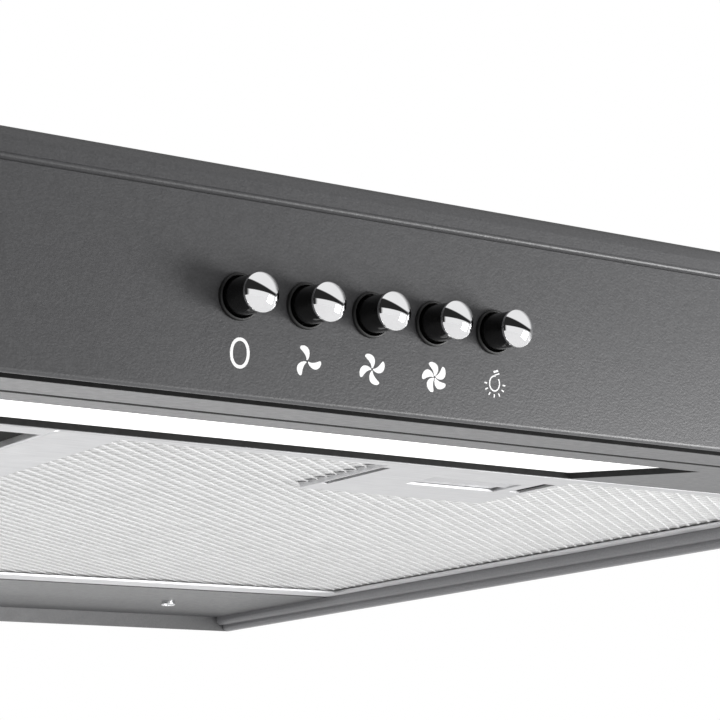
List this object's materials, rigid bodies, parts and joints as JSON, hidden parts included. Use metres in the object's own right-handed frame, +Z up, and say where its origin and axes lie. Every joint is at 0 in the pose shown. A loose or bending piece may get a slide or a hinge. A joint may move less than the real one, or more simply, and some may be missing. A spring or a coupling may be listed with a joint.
{
  "type": "under cabinet range hood",
  "caption": "Slim wedge-shaped under cabinet extractor hood with push buttons on the front panel, a strip lamp, drop-down grease filters, a blower and a top duct outlet.",
  "frame": {"origin": "centre of the four cabinet screw holes, on the top face", "axes": "+X to the right seen from the front, +Y towards the wall, +Z up"},
  "size_m": [0.6, 0.4915, 0.1289],
  "materials": {
    "paint": "dark grey powder coat with a fine orange peel, satin",
    "white_paint": "white enamel reflector, satin",
    "galvanised": "galvanised sheet, dull spangle",
    "opal": "opal lamp diffuser, lit, smooth",
    "board_white": "white solder mask with yellow lamp chips",
    "white_plastic": "moulded electrical plastic, matt",
    "gloss_black": "polished black plastic",
    "black_plastic": "black moulded plastic, fine texture",
    "grey_plastic": "grey moulded plastic, fine texture",
    "chrome": "bright chrome plate, mirror polish",
    "spring_steel": "drawn spring wire",
    "steel": "ground steel",
    "zinc": "bright zinc plated screws",
    "brass": "tinned brass tabs",
    "cast_aluminium": "die cast motor shell, fine grain",
    "filter_aluminium": "plain mill-finish filter frame, satin",
    "mesh_aluminium": "expanded aluminium mesh, satin",
    "lead_rubber": "sheathed internal wiring, matt grey"
  },
  "bodies": {
    "casing": {"front_panel": "paint", "top_panel": "paint", "side_panel_left": "paint", "side_panel_right": "paint", "rear_panel": "paint", "rear_bottom_plate": "paint", "front_lip": "paint", "centre_divider": "paint", "lamp_plate": "paint", "filter_rails": "galvanised", "motor_bracket": "galvanised", "lamp_tray": "white_paint", "lamp_lens": "opal", "led_strip": "board_white", "led_driver": "white_plastic", "button_bezels": "gloss_black", "button_springs": "spring_steel", "switch_housing": "black_plastic", "switch_terminals": "brass", "pan_head_screws": "zinc", "motor_body": "cast_aluminium", "volute_wall": "black_plastic", "volute_floor": "black_plastic", "inlet_ring": "grey_plastic", "duct_spigot": "black_plastic", "flap_pin": "steel", "cable_gland": "black_plastic", "terminal_box": "black_plastic", "terminal_lid": "black_plastic", "terminal_block": "white_plastic", "run_capacitor": "white_plastic", "capacitor_strap": "galvanised", "switch_lead": "lead_rubber", "lamp_leads": "lead_rubber"},
    "impeller": {"impeller": "grey_plastic", "motor_shaft": "steel"},
    "flap_front": {"damper_flap_front": "grey_plastic"},
    "flap_rear": {"damper_flap_rear": "grey_plastic"},
    "button_off": {"button_off_cap": "chrome", "button_off_stem": "gloss_black"},
    "button_speed_1": {"button_speed_1_cap": "chrome", "button_speed_1_stem": "gloss_black"},
    "button_speed_2": {"button_speed_2_cap": "chrome", "button_speed_2_stem": "gloss_black"},
    "button_speed_3": {"button_speed_3_cap": "chrome", "button_speed_3_stem": "gloss_black"},
    "button_light": {"button_light_cap": "chrome", "button_light_stem": "gloss_black"},
    "filter_left": {"filter_frame_left": "filter_aluminium", "filter_mesh_left": "mesh_aluminium", "filter_pad_left": "mesh_aluminium", "latch_plate_left": "filter_aluminium", "latch_spring_left": "spring_steel"},
    "latch_left": {"latch_slider_left": "filter_aluminium"},
    "filter_right": {"filter_frame_right": "filter_aluminium", "filter_mesh_right": "mesh_aluminium", "filter_pad_right": "mesh_aluminium", "latch_plate_right": "filter_aluminium", "latch_spring_right": "spring_steel"},
    "latch_right": {"latch_slider_right": "filter_aluminium"}
  },
  "joints": [
    {"name": "button_off_press", "type": "slide", "parent": "casing", "child": "button_off", "axis": [0, 1, 0], "range_m": [0, 0.0035], "stiffness_N_per_m": 400, "springref_m": -0.002, "deforming": ["button_springs"]},
    {"name": "button_speed_1_press", "type": "slide", "parent": "casing", "child": "button_speed_1", "axis": [0, 1, 0], "range_m": [0, 0.0035], "stiffness_N_per_m": 400, "springref_m": -0.002, "deforming": ["button_springs"]},
    {"name": "button_speed_2_press", "type": "slide", "parent": "casing", "child": "button_speed_2", "axis": [0, 1, 0], "range_m": [0, 0.0035], "stiffness_N_per_m": 400, "springref_m": -0.002, "deforming": ["button_springs"]},
    {"name": "button_speed_3_press", "type": "slide", "parent": "casing", "child": "button_speed_3", "axis": [0, 1, 0], "range_m": [0, 0.0035], "stiffness_N_per_m": 400, "springref_m": -0.002, "deforming": ["button_springs"]},
    {"name": "button_light_press", "type": "slide", "parent": "casing", "child": "button_light", "axis": [0, 1, 0], "range_m": [0, 0.0035], "stiffness_N_per_m": 400, "springref_m": -0.002, "deforming": ["button_springs"]},
    {"name": "impeller_spin", "type": "hinge", "parent": "casing", "child": "impeller", "pos_m": [-0.14, 0.095, -0.046], "axis": [0, 0, 1], "continuous": true},
    {"name": "flap_front_lift", "type": "hinge", "parent": "casing", "child": "flap_front", "pos_m": [0, 0.132, 0.0046], "axis": [-1, 0, 0], "range_deg": [0, 75]},
    {"name": "flap_rear_lift", "type": "hinge", "parent": "casing", "child": "flap_rear", "pos_m": [0, 0.132, 0.0046], "axis": [1, 0, 0], "range_deg": [0, 75]},
    {"name": "filter_left_drop", "type": "hinge", "parent": "casing", "child": "filter_left", "pos_m": [-0.1503, 0.14516, -0.0749], "axis": [1, 0, 0], "range_deg": [0, 70]},
    {"name": "filter_right_drop", "type": "hinge", "parent": "casing", "child": "filter_right", "pos_m": [0.1503, 0.14516, -0.0749], "axis": [1, 0, 0], "range_deg": [0, 70]},
    {"name": "latch_left_slide", "type": "slide", "parent": "filter_left", "child": "latch_left", "axis": [0, 0.9958, -0.0918], "range_m": [0, 0.006], "stiffness_N_per_m": 250, "springref_m": -0.002, "deforming": ["latch_spring_left"]},
    {"name": "latch_right_slide", "type": "slide", "parent": "filter_right", "child": "latch_right", "axis": [0, 0.9958, -0.0918], "range_m": [0, 0.006], "stiffness_N_per_m": 250, "springref_m": -0.002, "deforming": ["latch_spring_right"]}
  ]
}
